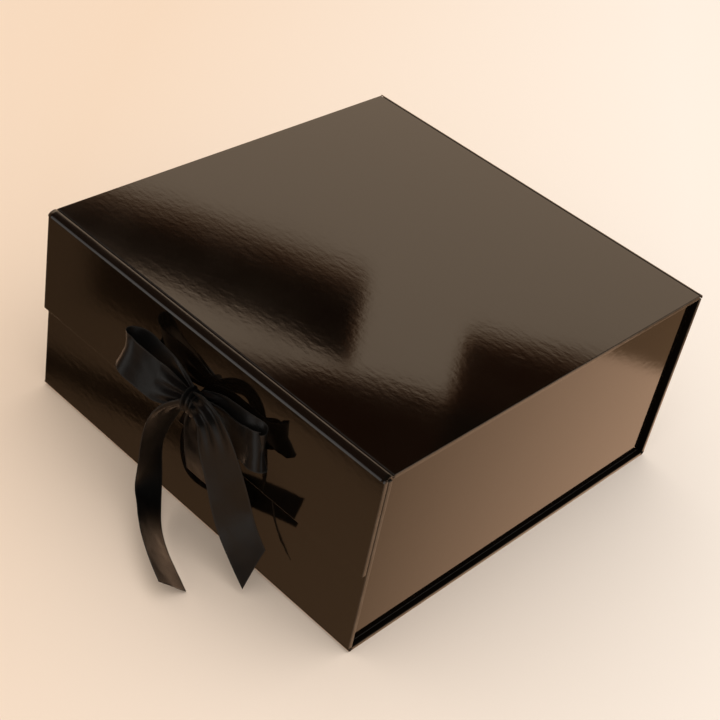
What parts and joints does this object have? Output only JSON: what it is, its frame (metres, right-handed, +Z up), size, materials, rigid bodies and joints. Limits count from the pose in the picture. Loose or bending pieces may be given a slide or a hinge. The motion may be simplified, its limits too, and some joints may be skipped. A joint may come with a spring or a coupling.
{
  "type": "gift box",
  "caption": "Black gloss rigid gift box with a book-style hinged lid, magnetic front flap, set-back fold-in side walls and a tied satin ribbon bow.",
  "frame": {"origin": "centre of the base's underside", "axes": "+X to the right seen from the front, +Y towards the back hinge, +Z up; the flap and bow face -Y"},
  "size_m": [0.25, 0.3074, 0.12],
  "materials": {
    "gloss_paper": "gloss",
    "liner_paper": "matte",
    "greyboard": "matte",
    "tape": "satin",
    "magnet": "satin",
    "steel": "satin",
    "satin_ribbon": "satin"
  },
  "bodies": {
    "root": {"base_board": "greyboard", "base_wrap": "gloss_paper", "base_liner": "liner_paper", "front_wall_board": "greyboard", "front_wall_wrap": "gloss_paper", "front_wall_liner": "liner_paper", "back_wall_board": "greyboard", "back_wall_wrap": "gloss_paper", "back_wall_liner": "liner_paper", "base_front_hinge": "gloss_paper", "base_back_hinge": "gloss_paper", "side_left_hinge": "liner_paper", "side_right_hinge": "liner_paper", "steel_disc_left": "steel", "steel_disc_right": "steel", "front_ribbon_tab": "satin_ribbon"},
    "lid": {"lid_board": "greyboard", "lid_wrap": "gloss_paper", "lid_liner": "liner_paper", "back_hinge": "gloss_paper"},
    "flap": {"flap_board": "greyboard", "flap_wrap": "gloss_paper", "flap_liner": "liner_paper", "flap_hinge": "gloss_paper", "magnet_left": "magnet", "magnet_right": "magnet", "flap_ribbon_tab": "satin_ribbon", "flap_ribbon_riser": "satin_ribbon", "front_ribbon_strap": "satin_ribbon", "bow_knot": "satin_ribbon", "bow_loop_left": "satin_ribbon", "bow_loop_right": "satin_ribbon", "bow_tail_left": "satin_ribbon", "bow_tail_right": "satin_ribbon"},
    "side_left": {"side_left_board": "greyboard", "side_left_wrap": "gloss_paper", "side_left_liner": "liner_paper"},
    "side_right": {"side_right_board": "greyboard", "side_right_wrap": "gloss_paper", "side_right_liner": "liner_paper"},
    "ear_front_left": {"ear_front_left": "gloss_paper", "ear_tape_front_left": "tape"},
    "ear_back_left": {"ear_back_left": "gloss_paper", "ear_tape_back_left": "tape"},
    "ear_front_right": {"ear_front_right": "gloss_paper", "ear_tape_front_right": "tape"},
    "ear_back_right": {"ear_back_right": "gloss_paper", "ear_tape_back_right": "tape"}
  },
  "joints": [
    {"name": "lid_hinge", "type": "hinge", "parent": "root", "child": "lid", "pos_m": [0, 0.12694, 0.11944], "axis": [-1, 0, 0], "range_deg": [0, 180], "deforming": ["back_hinge"]},
    {"name": "flap_hinge", "type": "hinge", "parent": "lid", "child": "flap", "pos_m": [0, -0.1294, 0.1189], "axis": [-1, 0, 0], "range_deg": [0, 120], "deforming": ["flap_hinge"]},
    {"name": "side_left_fold", "type": "hinge", "parent": "root", "child": "side_left", "pos_m": [-0.1194, 0, 0.0038], "axis": [0, 1, 0], "range_deg": [0, 90]},
    {"name": "ear_front_left_fold", "type": "hinge", "parent": "side_left", "child": "ear_front_left", "pos_m": [-0.1192, -0.1239, 0.06], "axis": [0, 0, 1], "range_deg": [0, 90]},
    {"name": "ear_back_left_fold", "type": "hinge", "parent": "side_left", "child": "ear_back_left", "pos_m": [-0.1192, 0.1239, 0.06], "axis": [0, 0, -1], "range_deg": [0, 90]},
    {"name": "side_right_fold", "type": "hinge", "parent": "root", "child": "side_right", "pos_m": [0.1194, 0, 0.0038], "axis": [0, -1, 0], "range_deg": [0, 90]},
    {"name": "ear_front_right_fold", "type": "hinge", "parent": "side_right", "child": "ear_front_right", "pos_m": [0.1192, -0.1239, 0.06], "axis": [0, 0, -1], "range_deg": [0, 90]},
    {"name": "ear_back_right_fold", "type": "hinge", "parent": "side_right", "child": "ear_back_right", "pos_m": [0.1192, 0.1239, 0.06], "axis": [0, 0, 1], "range_deg": [0, 90]}
  ],
  "couplings": [
    {"joint": "ear_front_left_fold", "follows": "side_left_fold", "ratio": 1},
    {"joint": "ear_back_left_fold", "follows": "side_left_fold", "ratio": 1},
    {"joint": "ear_front_right_fold", "follows": "side_right_fold", "ratio": 1},
    {"joint": "ear_back_right_fold", "follows": "side_right_fold", "ratio": 1}
  ]
}
